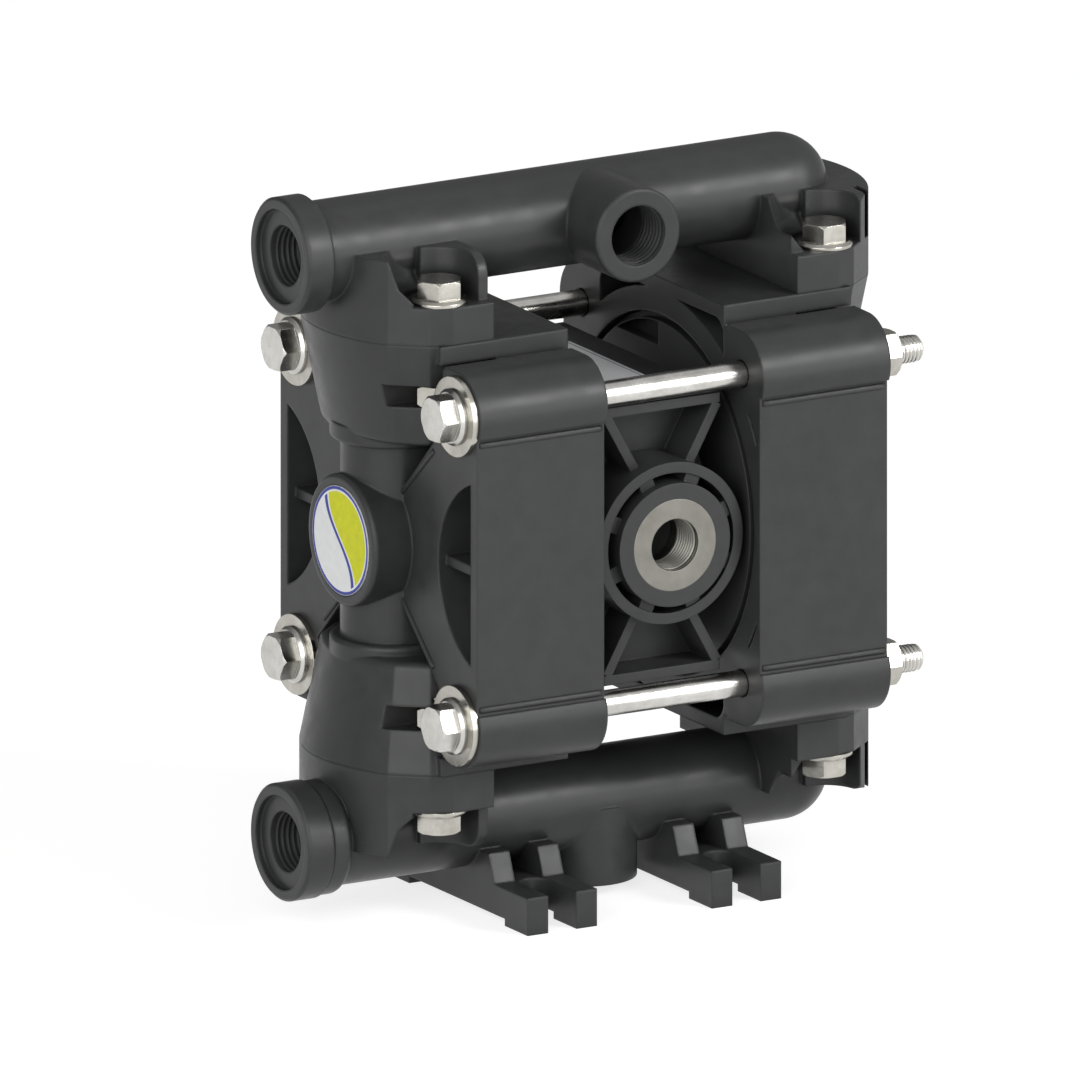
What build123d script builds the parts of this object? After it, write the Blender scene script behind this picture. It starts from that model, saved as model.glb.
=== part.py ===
"""Air operated double diaphragm pump, as an assembly of separate sub-parts.

Units are millimetres.  The model is built around the pump's own centre: X runs along
the diaphragm shaft (-X is the end with the threaded pipe ports), -Y is the side with
the air inlet and +Z is up.  Each sub-part is lifted by AXIS_HEIGHT when it is written,
so in the written files the origin lies on the floor below the middle of the pump.
"""
from build123d import *
from math import radians, sin, sqrt
import os

# ---- Layout of the whole pump ----
AXIS_HEIGHT = 118.5          # pump axis above the floor
COLUMN_X = 66.7              # liquid columns, left and right of the middle
JOINT_Z = 66.7               # manifold joint faces, above and below the axis
PIPE_Z = 91.0                # manifold pipes, above and below the axis
ROD_OFFSET = 48.0            # tie rods, off the axis in Y and in Z
BODY_GAP = 54.0              # clear space between the two casings
CASING_DEPTH = 44.0          # depth of a casing along X

# ---- Casings ----
PANEL_Y = 59.0               # front and back side panels
PANEL_TOP = 43.0             # where a side panel meets the rod lobes
PANEL_WALL = 4.0
LOBE_R = 13.25               # round corners around the tie rods
LEDGE_Y = 37.3               # half width of the flat ledge beside the manifold
LEDGE_T = 5.7                # thickness of that ledge
LEDGE_GROOVE = 2.0           # groove between ledge and rod lobe
POCKET_DEPTH = 19.0          # depth of the lightening pockets in the end face
LENS_R = 30.0                # round side of the lens pockets beside the boss
LENS_Y = 65.5                # centre of that round side
LENS_RIB_T = 3.0
LENS_RIB_SET = 3.0           # how far the pocket rib lies below the end face
NECK_R = 15.4                # vertical liquid column of a casing
BOSS_R = 20.25               # round boss in the middle of the end face
BOSS_X = 84.2                # face of that boss
BOSS_ROUND = 1.5
WEB_HALF = 3.5               # half the spread between the diagonal webs and their line
BLOCK_REACH = 33.1           # height of the valve block below the manifold joint
BLOCK_DRAFT = 11.4           # draft of its sides, in degrees
BLOCK_ROUND = 2.6            # rounded shoulder between block and column
BEAD_R = 18.6                # bead around the column where the block ends
BEAD_T = 3.0
BEAD_ROUND = 1.4
FACE_RING_R = 62.8           # inner face: flat ring around the air chamber plate
FACE_POCKET_Y = 37.0         # pockets between that ring and the top and bottom ledges
FACE_POCKET_WALL = 4.5
FACE_POCKET_DEPTH = 12.0
FACE_POCKET_ROUND = 5.0
FACE_SLIT_W = 1.0            # curved slits between ring and side panel
FACE_SLIT_DEPTH = 4.0
FACE_SLIT_ANGLE = 30.5       # middle of a slit, above and below the Y axis
FACE_SLIT_SPAN = 9.0

# ---- Manifold flanges, shared by casings and manifolds ----
FLANGE_T = 11.7
FLANGE_INNER_X = 14.1        # inner side, from the column axis
FLANGE_APEX_X = 24.3         # outer end, from the column axis
FLANGE_SHOULDER_X = 16.5     # shoulder of the outer end, from the column axis
FLANGE_SHOULDER_Y = 26.6
FLANGE_CUT_X = 6.7           # corner beside the bolt, from the column axis
FLANGE_CUT_Y = 34.9
FLANGE_BOLT_Y = 28.6         # manifold bolts, off the column axis

# ---- Manifolds ----
PIPE_R = 15.3
PIPE_BORE_R = 8.6
PORT_X = 105.4               # face of the end ports
COLLAR_R = 18.0
COLLAR_L = 9.4
COLLAR_CHAMFER = 0.8
PORT_BORE_R = 9.3            # tapping size of the G 1/2 ports
PORT_BORE_L = 18.0
PORT_RECESS_R = 14.5         # shallow recess in the port face
PORT_RECESS_T = 2.0
SHOULDER_R = 17.4            # second, rounded shoulder behind the lower collar
SHOULDER_L = 6.5
MID_PORT_R = 14.6            # discharge port in the middle of the top manifold
MID_PORT_Y = 32.9
MID_PORT_ROUND = 1.0
BASE_PORT_R = 16.0           # suction port in the middle of the base
BASE_PORT_Z = 114.6
BOLT_SCOOP_R = 11.0          # scoop around each manifold bolt head
SCOOP_FLARE_R = 16.5         # its flared side towards the end ports
SCOOP_FLARE_FOOT_R = 9.5
SCOOP_FLARE_KNEE = (14.0, 5.5)   # radius and height where the flare steepens
SADDLE_Z = 92.5              # top of the gussets that carry the pipe
SADDLE_Y = 33.5              # half width of those gussets
SADDLE_ROUND = 7.0
SADDLE_SLOT_X = 14.0         # slot that leaves a thin fin beside the outer bolts
SADDLE_SLOT_W = 2.2
SADDLE_SLOT_Y = 20.0

# ---- Feet ----
FOOT_X = 31.9
FOOT_W = 24.0
FOOT_Y = 42.4                # half length of a foot
FOOT_T = 11.6                # height of the foot plate
FOOT_SLOT_W = 9.8            # open slot for a hold-down bolt
FOOT_SLOT_L = 16.0
TOE_L = 13.8                 # toe pads that touch the floor
TOE_STEP = 2.2
FOOT_RIB_Y = 19.0            # top front edge of the ribs that carry the pipe
FOOT_RIB_LAP = 8.0           # how far those ribs rise beside the pipe
FOOT_RIB_SLANT = 3.5

# ---- Diaphragms, air chamber plates and centre body ----
PLATE_R = 55.0               # air chamber plates and diaphragms
PLATE_GAP = 0.3              # radial gap around them in the casing
PLATE_EDGE = 2.0             # stepped edge around the face that lies flush with the casing
PLATE_STEP = 3.0             # how deep the plate's rim lies below that face
PLATE_RIM_T = 2.5
PLATE_WALL = 2.5
PLATE_DOME_R = 26.0
PLATE_DOME_FOOT_R = 28.0
PLATE_DOME_DEPTH = 7.0       # how far the dome bulges towards the middle
PLATE_WINDOW_Y = (2.0, 30.0)   # recess in the flush face, beside the middle
PLATE_WINDOW_Z = 45.3
PLATE_WINDOW_DEPTH = 4.0
DIAPHRAGM_T = 2.5
CHAMBER_R = 45.0             # open radius of the diaphragm
CHAMBER_DEPTH = 13.0         # depth of the liquid chamber in the casing
CHAMBER_FLOOR_R = 25.0
CHAMBER_PORT_R = 8.8         # way from the chamber into the liquid column
HUB_R = 19.1
HUB_SET = 0.3                # how far the hub's faces lie inside the plates' edge
RING_R = 25.0
RING_SLOT_R = 21.7
RING_SET = 2.5               # how far the ring's faces lie inside the hub's
RING_DEPTH = 18.0
BRIDGES = 8                  # bridges between hub and ring
BRIDGE_W = 5.0
BRIDGE_SET = 0.8             # how far they lie below the ring's face
SPOKE_T = 3.0
SPOKE_SET = 5.2              # how far the spokes' edges lie inside the ring's faces
SPOKE_FOOT = (9.0, 22.0)     # spoke ends, off the hub's axis in X and Z
SPOKE_END = (19.0, 40.0)
FRAME_Z = 43.0               # top and bottom plates of the centre body
FRAME_T = 3.0
FRAME_Y = 47.0
FRAME_LIP = 5.0              # wider lip along the front and back edges
FRAME_LIP_X = 19.0
CORE_Y = 34.0                # solid core between the two hubs
VALVE_Z = 24.0               # air valve bore above the shaft

# ---- Air inlet, exhaust and plates ----
INSERT_R = 14.2
INSERT_L = 17.0
INSERT_BORE_R = 8.1          # tapping size of the G 3/8 air port
MUFFLER_R = 12.0
MUFFLER_L = 26.0
MUFFLER_GROOVES = 5
MUFFLER_GROOVE_W = 1.2
MUFFLER_GROOVE_T = 1.2
MUFFLER_ROUND = 2.0
MUFFLER_HEX_T = 5.0
NAMEPLATE = (19.0, 50.0, 0.6)
BADGE_R = 16.65
BADGE_T = 0.5
BADGE_RECESS = 0.3

# ---- Fasteners ----
ROD_D = 8.0
HOLE_GAP = 0.3               # radial clearance of bolt holes
HEX_AF = 13.0
HEAD_T = 7.3
HEAD_FLANGE_R = 8.7
HEAD_FLANGE_T = 1.8
ROD_WASHER_R = 12.3
ROD_WASHER_T = 2.0
END_WASHER_R = 8.0
END_WASHER_T = 1.6
NUT_T = 6.5
ROD_TAIL = 9.0               # bare thread beyond the nuts
HEX_CHAMFER = 0.8
NUT_GAP = 0.05               # radial clearance of nuts and washers on their bolts
CAPTIVE_Z = 50.0             # captive nuts above and below the axis
CAPTIVE_GAP = 0.25
BOLT_TIP = 3.0               # thread beyond a captive nut

# ---- Moving air motor parts ----
SHAFT_R = 5.0
RUNNING_GAP = 0.05
STROKE = 4.0                 # diaphragm travel either way
BUSH_R = 8.0
BUSH_L = 9.0
CENTRE_T = 2.0               # diaphragm thickness between its two plates
INNER_PLATE_R = 21.0
INNER_PLATE_T = 2.5
OUTER_PLATE_R = 22.0
OUTER_PLATE_T = 5.0
PLATE_CLEARANCE = 1.0        # between plates and chamber walls at full stroke
SPOOL_R = 4.5
SLEEVE_R = 7.0
SPOOL_TRAVEL = 3.0           # spool shift either way
SPOOL_WAIST_R = 3.0
SHAFT_CHAMFER = 0.5

# ---- Check valves ----
COLUMN_BORE_R = 10.8
BALL_R = 8.0
BALL_LIFT = 4.0
BALL_GAP = 0.1               # ball above its seat, so that both stay separate
STOP_W = 3.0                 # bar across the column that stops a lifted ball
STOP_GAP = 0.4
SEAT_R = 12.5
SEAT_T = 6.0
SEAT_BORE_R = 6.0
SEAT_CONE = 1.5
SEAT_GAP = 0.1
RING_SECTION_R = 1.0         # section of the seat's sealing ring
RING_PITCH_R = 10.0

# ---- Stations that follow from the sizes above ----
CASING_FACE = BODY_GAP / 2
CASING_END = CASING_FACE + CASING_DEPTH
RIM_INNER = CASING_FACE + PLATE_STEP
PLATE_FACE = RIM_INNER + PLATE_RIM_T
CLAMP_FACE = PLATE_FACE + DIAPHRAGM_T
CHAMBER_END = CLAMP_FACE + CHAMBER_DEPTH
DOME_INNER = CASING_FACE - PLATE_DOME_DEPTH
AIR_FLOOR = DOME_INNER + PLATE_WALL
INNER_PLATE_X = AIR_FLOOR + STROKE + PLATE_CLEARANCE
CENTRE_X = INNER_PLATE_X + INNER_PLATE_T
OUTER_PLATE_X = CENTRE_X + CENTRE_T
SHAFT_END = OUTER_PLATE_X + OUTER_PLATE_T / 2
SPOOL_END = DOME_INNER - SPOOL_TRAVEL - PLATE_CLEARANCE
FLANGE_Z = JOINT_Z + FLANGE_T
BOLT_HOLE_R = ROD_D / 2 + HOLE_GAP
HEX_R = HEX_AF / sqrt(3)     # across corners, half
PLATE_FACE_R = PLATE_R - PLATE_EDGE
HUB_Y = PLATE_R - HUB_SET
RING_Y = HUB_Y - RING_SET
SPOKE_Y = RING_Y - SPOKE_SET
SIDES = (-1, 1)


# ---- Small helpers ----
def rod_x(radius, start, end, y=0.0, z=0.0):
    """Cylinder along X between two stations."""
    return Pos(start, y, z) * Rot(0, 90, 0) * Cylinder(
        radius, end - start, align=(Align.CENTER, Align.CENTER, Align.MIN))


def rod_y(radius, start, end, x=0.0, z=0.0):
    """Cylinder along Y between two stations."""
    return Pos(x, start, z) * Rot(-90, 0, 0) * Cylinder(
        radius, end - start, align=(Align.CENTER, Align.CENTER, Align.MIN))


def rod_z(radius, start, end, x=0.0, y=0.0):
    """Cylinder along Z between two heights."""
    return Pos(x, y, start) * Cylinder(
        radius, end - start, align=(Align.CENTER, Align.CENTER, Align.MIN))


def block(x, y, z):
    """Box between two corners, each axis given as (low, high)."""
    size = (x[1] - x[0], y[1] - y[0], z[1] - z[0])
    return Pos(x[0], y[0], z[0]) * Box(*size, align=(Align.MIN, Align.MIN, Align.MIN))


def turned_x(points):
    """Solid of revolution about X from (x, radius) points."""
    outline = Polyline(*[(x, 0, r) for x, r in points], close=True)
    return revolve(make_face(outline), axis=Axis.X, revolution_arc=360)


def hexagon_along(plane, thickness, bore=0.0):
    """Hexagonal prism with chamfered corners, seen along the plane's normal."""
    prism = extrude(plane * RegularPolygon(HEX_R, 6, major_radius=True), thickness)
    blank = extrude(plane * Circle(HEX_R), thickness)
    blank = chamfer(blank.edges().filter_by(GeomType.CIRCLE), HEX_CHAMFER)
    prism = prism & blank
    if bore:
        prism -= extrude(plane * Circle(bore), thickness)
    return prism


def mirrored_x(shape):
    return mirror(shape, about=Plane.YZ)


def mirrored_y(shape):
    return mirror(shape, about=Plane.XZ)


def mirrored_z(shape):
    return mirror(shape, about=Plane.XY)


def rod_corners():
    """The four tie rod places as (y, z)."""
    return [(y * ROD_OFFSET, z * ROD_OFFSET) for z in SIDES for y in SIDES]


def manifold_bolts():
    """The four bolt places of one manifold as (x, y)."""
    return [(x * COLUMN_X, y * FLANGE_BOLT_Y) for x in SIDES for y in SIDES]


# ---- Shared flange outline ----
def flange_outline():
    """Plan view of the manifold joint on the +X side, with its rounded outer end."""
    inner = COLUMN_X - FLANGE_INNER_X
    cut = (COLUMN_X + FLANGE_CUT_X, FLANGE_CUT_Y)
    shoulder = (COLUMN_X + FLANGE_SHOULDER_X, FLANGE_SHOULDER_Y)
    nose = ThreePointArc((shoulder[0], -shoulder[1]), (COLUMN_X + FLANGE_APEX_X, 0), shoulder)
    upper = Polyline(shoulder, cut, (COLUMN_X, LEDGE_Y), (inner, LEDGE_Y))
    side = Line((inner, LEDGE_Y), (inner, -LEDGE_Y))
    lower = Polyline((inner, -LEDGE_Y), (COLUMN_X, -LEDGE_Y), (cut[0], -cut[1]),
                     (shoulder[0], -shoulder[1]))
    return make_face(nose + upper + side + lower)


# ---- Casings ----
def casing_section():
    """Side view of a casing: rod lobes, recessed panels and top and bottom ledges."""
    section = Rectangle(2 * PANEL_Y, 2 * PANEL_TOP)
    section += Rectangle(2 * ROD_OFFSET, 2 * (ROD_OFFSET + LOBE_R))
    lobe_band = Rectangle(4 * ROD_OFFSET, 4 * ROD_OFFSET) - Rectangle(4 * ROD_OFFSET, 2 * PANEL_TOP)
    for y, z in rod_corners():
        section += Pos(y, z) * Circle(LOBE_R) & lobe_band
    section += Rectangle(2 * LEDGE_Y, 2 * JOINT_Z)
    for y in SIDES:
        for z in SIDES:
            groove = Rectangle(LEDGE_GROOVE, LEDGE_GROOVE)
            section -= Pos(y * (LEDGE_Y + LEDGE_GROOVE / 2), z * (ROD_OFFSET + LOBE_R)) * groove
    return section


def lens_pockets():
    """Lens shaped pockets between the boss and the two side panels."""
    bottom = CASING_END - POCKET_DEPTH
    inner_wall = PANEL_Y - PANEL_WALL
    pockets = Part()
    for y in SIDES:
        lens = rod_x(LENS_R, bottom, CASING_END, y * LENS_Y)
        reach = (y * inner_wall, 0) if y < 0 else (0, y * inner_wall)
        pockets += lens & block((bottom, CASING_END), reach, (-LENS_R, LENS_R))
    rib_top = CASING_END - LENS_RIB_SET
    rib = block((bottom, rib_top), (-PANEL_Y, PANEL_Y), (-LENS_RIB_T / 2, LENS_RIB_T / 2))
    return pockets - rib


def web_pockets():
    """Pockets above and below the diagonal webs, beside the column."""
    bottom = CASING_END - POCKET_DEPTH
    web = WEB_HALF
    top = JOINT_Z - LEDGE_T
    inner = ROD_OFFSET - LOBE_R + web
    corner = [(0, web), (inner, inner + web), (inner, top), (0, top)]
    pocket = extrude(Plane.YZ.offset(bottom) * make_face(Polyline(*corner, close=True)),
                     POCKET_DEPTH)
    pocket -= rod_x(BOSS_R, bottom, CASING_END)
    for y, z in rod_corners():
        pocket -= rod_x(LOBE_R, bottom, CASING_END, y, z)
    pocket += mirrored_y(pocket)
    return pocket + mirrored_z(pocket)


def valve_block():
    """Drafted block that carries the upper manifold joint of a casing."""
    plane = Plane.XY.offset(JOINT_Z)
    solid = extrude(plane * flange_outline(), -BLOCK_REACH, taper=BLOCK_DRAFT)
    foot = solid.faces().sort_by(Axis.Z)[0]
    return fillet(foot.edges().filter_by(lambda e: e.center().X > COLUMN_X), BLOCK_ROUND)


def liquid_passages():
    """Everything hollow in a casing: chamber, column bore and the two seat pockets."""
    recess_r = PLATE_R + PLATE_GAP
    hollow = turned_x([(CASING_FACE, 0), (CASING_FACE, recess_r), (CLAMP_FACE, recess_r),
                       (CLAMP_FACE, CHAMBER_R), (CHAMBER_END, CHAMBER_FLOOR_R), (CHAMBER_END, 0)])
    hollow += rod_x(CHAMBER_PORT_R, CLAMP_FACE, COLUMN_X)
    hollow += rod_z(COLUMN_BORE_R, -JOINT_Z, JOINT_Z, COLUMN_X)
    for low, high in ((-JOINT_Z, SEAT_T - JOINT_Z), (JOINT_Z - SEAT_T, JOINT_Z)):
        hollow += rod_z(SEAT_R + SEAT_GAP, low, high, COLUMN_X)
    return hollow


def face_pockets():
    """Pockets and slits in the inner face, around the ring that holds the air chamber plate."""
    top = JOINT_Z - FACE_POCKET_WALL
    plane = Plane.YZ.offset(CASING_FACE)
    outline = RectangleRounded(2 * FACE_POCKET_Y, 2 * top, FACE_POCKET_ROUND) - Circle(FACE_RING_R)
    pockets = extrude(plane * outline, FACE_POCKET_DEPTH)
    inner, outer = FACE_RING_R, FACE_RING_R + FACE_SLIT_W
    slit_h = 2 * inner * sin(radians(FACE_SLIT_SPAN / 2))
    slit = rod_x(outer, CASING_FACE, CASING_FACE + FACE_SLIT_DEPTH)
    slit -= rod_x(inner, CASING_FACE, CASING_FACE + FACE_SLIT_DEPTH)
    slit &= block((CASING_FACE, CASING_FACE + FACE_SLIT_DEPTH), (0, outer), (-slit_h / 2, slit_h / 2))
    for angle in (-FACE_SLIT_ANGLE, FACE_SLIT_ANGLE):
        for turn in (0, 180):
            pockets += Rot(angle + turn, 0, 0) * slit
    return pockets


def column_bead():
    """Rounded bead where the upper valve block meets the bare column."""
    top = JOINT_Z - BLOCK_REACH
    bead = rod_z(BEAD_R, top - BEAD_T, top + BLOCK_ROUND, COLUMN_X)
    return fillet(bead.edges().sort_by(Axis.Z)[0], BEAD_ROUND)


def bolt_seats():
    """Bolt holes and the side slots that take the captive nuts of one block."""
    slot_w = HEX_AF + 2 * CAPTIVE_GAP
    slot_t = NUT_T + 2 * CAPTIVE_GAP
    tip = CAPTIVE_Z - NUT_T / 2 - BOLT_TIP
    cut = Part()
    for y in SIDES:
        y_mid = y * FLANGE_BOLT_Y
        cut += rod_z(BOLT_HOLE_R, tip, JOINT_Z, COLUMN_X, y_mid)
        cut += block((COLUMN_X - HEX_R - CAPTIVE_GAP, COLUMN_X + FLANGE_APEX_X),
                     (y_mid - slot_w / 2, y_mid + slot_w / 2),
                     (CAPTIVE_Z - slot_t / 2, CAPTIVE_Z + slot_t / 2))
    return cut + mirrored_z(cut)


def casing():
    """Right hand liquid casing."""
    body = extrude(Plane.YZ.offset(CASING_FACE) * casing_section(), CASING_DEPTH)
    body -= lens_pockets() + web_pockets()
    body += rod_z(NECK_R, -CAPTIVE_Z, CAPTIVE_Z, COLUMN_X)
    boss = rod_x(BOSS_R, CASING_END - POCKET_DEPTH, BOSS_X)
    face = boss.faces().sort_by(Axis.X)[-1]
    body += fillet(face.edges(), BOSS_ROUND)
    top_block = valve_block() + column_bead()
    body += top_block + mirrored_z(top_block)
    body -= liquid_passages() + bolt_seats()
    body -= face_pockets()
    body += ball_stop(-1)
    for y, z in rod_corners():
        body -= rod_x(BOLT_HOLE_R, CASING_FACE, CASING_END, y, z)
    return body


# ---- Manifolds (built as the top one, in the pump's frame) ----
def scoop(y):
    """Room for one bolt head: round, open to the outside and flared towards -X."""
    bolt_y = y * FLANGE_BOLT_Y
    reach = (min(y * LEDGE_Y, bolt_y), max(y * LEDGE_Y, bolt_y))
    cut = rod_z(BOLT_SCOOP_R, FLANGE_Z, SADDLE_Z, 0, bolt_y)
    cut += block((0, BOLT_SCOOP_R), reach, (FLANGE_Z, SADDLE_Z))
    knee_r, knee_h = SCOOP_FLARE_KNEE
    flare = [(0, FLANGE_Z), (-SCOOP_FLARE_FOOT_R, FLANGE_Z), (-knee_r, FLANGE_Z + knee_h),
             (-SCOOP_FLARE_R, SADDLE_Z), (0, SADDLE_Z)]
    face = make_face(Polyline(*[(x, 0, z) for x, z in flare], close=True))
    cut += Pos(0, bolt_y, 0) * revolve(face, axis=Axis.Z, revolution_arc=360) & block(
        (-SCOOP_FLARE_R, 0), (-LEDGE_Y, LEDGE_Y), (FLANGE_Z, SADDLE_Z))
    side = make_face(Polyline(*flare, close=True))
    return cut + extrude(Plane.XZ.offset(-reach[0]) * side, reach[0] - reach[1])


def manifold_saddle(end):
    """Flange and gussets of one column; end is 1 for the closed end and -1 for the port end."""
    flange = extrude(Plane.XY.offset(JOINT_Z) * flange_outline(), FLANGE_T)
    gusset = extrude(Plane.XY.offset(FLANGE_Z) * flange_outline(), SADDLE_Z - FLANGE_Z)
    side = Pos(0, FLANGE_Z) * Rectangle(2 * SADDLE_Y, 2 * (SADDLE_Z - FLANGE_Z))
    side = fillet([v for v in side.vertices() if v.Y > FLANGE_Z], SADDLE_ROUND)
    gusset &= extrude(Plane.YZ * side, 2 * COLUMN_X)
    if end < 0:
        flange, gusset = mirrored_x(flange), mirrored_x(gusset)
    for y in SIDES:
        gusset -= Pos(end * COLUMN_X, 0, 0) * scoop(y)
        if end > 0:
            slot_x = COLUMN_X + SADDLE_SLOT_X
            reach = sorted((y * SADDLE_SLOT_Y, y * LEDGE_Y))
            gusset -= block((slot_x, slot_x + SADDLE_SLOT_W), reach, (FLANGE_Z, SADDLE_Z))
    return flange + gusset


def manifold_blank():
    """Solid outside of a manifold, before its bores."""
    solid = rod_x(PIPE_R, -PORT_X, COLUMN_X, z=PIPE_Z)
    solid += Pos(COLUMN_X, 0, PIPE_Z) * Sphere(PIPE_R)
    collar = rod_x(COLLAR_R, -PORT_X, COLLAR_L - PORT_X, z=PIPE_Z)
    solid += chamfer(collar.edges(), COLLAR_CHAMFER)
    return solid + manifold_saddle(1) + manifold_saddle(-1)


def manifold_bores():
    """Pipe bore, end port, valve columns and bolt holes."""
    hollow = rod_x(PIPE_BORE_R, -PORT_X, COLUMN_X, z=PIPE_Z)
    hollow += Pos(COLUMN_X, 0, PIPE_Z) * Sphere(PIPE_BORE_R)
    hollow += rod_x(PORT_BORE_R, -PORT_X, PORT_BORE_L - PORT_X, z=PIPE_Z)
    hollow += rod_x(PORT_RECESS_R, -PORT_X, PORT_RECESS_T - PORT_X, z=PIPE_Z)
    for x in SIDES:
        hollow += rod_z(COLUMN_BORE_R, JOINT_Z, PIPE_Z, x * COLUMN_X)
    for x, y in manifold_bolts():
        hollow += rod_z(BOLT_HOLE_R, JOINT_Z, FLANGE_Z, x, y)
    return hollow


def top_manifold():
    port = rod_y(MID_PORT_R, -MID_PORT_Y, 0, z=PIPE_Z)
    face = port.faces().sort_by(Axis.Y)[0]
    body = manifold_blank() + fillet(face.edges(), MID_PORT_ROUND)
    body -= manifold_bores() + rod_y(PORT_BORE_R, -MID_PORT_Y, 0, z=PIPE_Z)
    stop = ball_stop(1)
    return body + stop + mirrored_x(stop)


def foot():
    """Right hand foot, written below the axis where it really is."""
    floor = -AXIS_HEIGHT
    half = FOOT_W / 2
    x = (FOOT_X - half, FOOT_X + half)
    plate = block(x, (-FOOT_Y, FOOT_Y), (floor, floor + FOOT_T))
    plate -= block(x, (TOE_L - FOOT_Y, FOOT_Y - TOE_L), (floor, floor + TOE_STEP))
    rib_foot = FOOT_RIB_Y + FOOT_RIB_SLANT
    rib_top = FOOT_RIB_LAP - PIPE_R - PIPE_Z
    profile = [(-rib_foot, floor + FOOT_T), (-FOOT_RIB_Y, rib_top),
               (FOOT_RIB_Y, rib_top), (rib_foot, floor + FOOT_T)]
    rib_w = (FOOT_W - FOOT_SLOT_W) / 2
    rib_face = make_face(Polyline(*profile, close=True))
    solid = plate
    for start in (x[0], x[1] - rib_w):
        solid += extrude(Plane.YZ.offset(start) * rib_face, rib_w)
    inner = FOOT_Y - FOOT_SLOT_L
    for y in SIDES:
        end = y * inner
        reach = sorted((end, y * FOOT_Y))
        solid -= block((FOOT_X - FOOT_SLOT_W / 2, FOOT_X + FOOT_SLOT_W / 2), reach,
                       (floor, floor + FOOT_T))
        solid -= rod_z(FOOT_SLOT_W / 2, floor, floor + FOOT_T, FOOT_X, end)
    return solid


def bottom_manifold():
    shoulder = rod_x(SHOULDER_R, COLLAR_L - PORT_X, COLLAR_L + SHOULDER_L - PORT_X, z=PIPE_Z)
    shoulder = fillet(shoulder.edges().sort_by(Axis.X)[-1], SHOULDER_R - PIPE_R)
    body = mirrored_z(manifold_blank() + shoulder)
    body += rod_z(BASE_PORT_R, -BASE_PORT_Z, -PIPE_Z)
    right_foot = foot()
    body += right_foot + mirrored_x(right_foot)
    bores = mirrored_z(manifold_bores()) + rod_z(PORT_BORE_R, -BASE_PORT_Z, -PIPE_Z)
    return body - bores


# ---- Centre: air chamber plates, centre body and its inserts ----
def plate_envelope():
    """Outside of the right hand air chamber plate, as a filled solid of revolution."""
    return turned_x([(DOME_INNER, 0), (DOME_INNER, PLATE_DOME_R), (CASING_FACE, PLATE_DOME_FOOT_R),
                     (CASING_FACE, PLATE_FACE_R), (RIM_INNER, PLATE_FACE_R), (RIM_INNER, PLATE_R),
                     (PLATE_FACE, PLATE_R), (PLATE_FACE, 0)])


def plate_window():
    """Recess in the flush face of a plate, bounded by its round edge."""
    depth = (CASING_FACE, CASING_FACE + PLATE_WINDOW_DEPTH)
    return block(depth, PLATE_WINDOW_Y, (PLATE_WINDOW_Z, PLATE_FACE_R)) & rod_x(
        PLATE_FACE_R - PLATE_GAP, *depth)


def air_plate():
    """Right hand air chamber plate: clamping rim, flush face, dome and two recesses."""
    floor = CASING_FACE + PLATE_WALL
    body = plate_envelope()
    body -= turned_x([(AIR_FLOOR, 0), (AIR_FLOOR, PLATE_DOME_R - PLATE_WALL),
                      (floor, PLATE_DOME_FOOT_R - PLATE_WALL), (floor, CHAMBER_R),
                      (PLATE_FACE, CHAMBER_R), (PLATE_FACE, 0)])
    window = plate_window()
    body -= window + Rot(180, 0, 0) * window
    return body - rod_x(SHAFT_R + HOLE_GAP, DOME_INNER, PLATE_FACE)


def hub_ring():
    """Front hub with the slotted ring around it."""
    ring = rod_y(RING_R, -RING_Y, RING_DEPTH - RING_Y) - rod_y(RING_SLOT_R, -RING_Y, RING_DEPTH - RING_Y)
    ring += rod_y(HUB_R, -HUB_Y, -CORE_Y)
    bridge = block((INSERT_R, (RING_R + RING_SLOT_R) / 2), (BRIDGE_SET - RING_Y, -CORE_Y),
                   (-BRIDGE_W / 2, BRIDGE_W / 2))
    for index in range(BRIDGES):
        ring += Rot(0, (index + 0.5) * 360 / BRIDGES, 0) * bridge
    return ring


def centre_spokes():
    """Webs from the front ring to the four corners of the frame."""
    run_x = SPOKE_END[0] - SPOKE_FOOT[0]
    run_z = SPOKE_END[1] - SPOKE_FOOT[1]
    length = sqrt(run_x ** 2 + run_z ** 2)
    side = (run_z * SPOKE_T / length / 2, -run_x * SPOKE_T / length / 2)
    corners = [(p[0] + sign * side[0], p[1] + sign * side[1])
               for p, sign in ((SPOKE_FOOT, 1), (SPOKE_END, 1), (SPOKE_END, -1), (SPOKE_FOOT, -1))]
    web = extrude(Plane.XZ.offset(CORE_Y) * make_face(Polyline(*corners, close=True)), SPOKE_Y - CORE_Y)
    pair = web + mirrored_x(web)
    return pair + mirrored_z(pair)


def centre_frame():
    """Front half of the top and bottom plates, with the wider lip along the edge."""
    plates = Part()
    for low in (-FRAME_Z, FRAME_Z - FRAME_T):
        plates += block((-DOME_INNER, DOME_INNER), (-FRAME_Y, 0), (low, low + FRAME_T))
        plates += block((-FRAME_LIP_X, FRAME_LIP_X), (-FRAME_Y, FRAME_LIP - FRAME_Y), (low, low + FRAME_T))
    return plates


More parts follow.
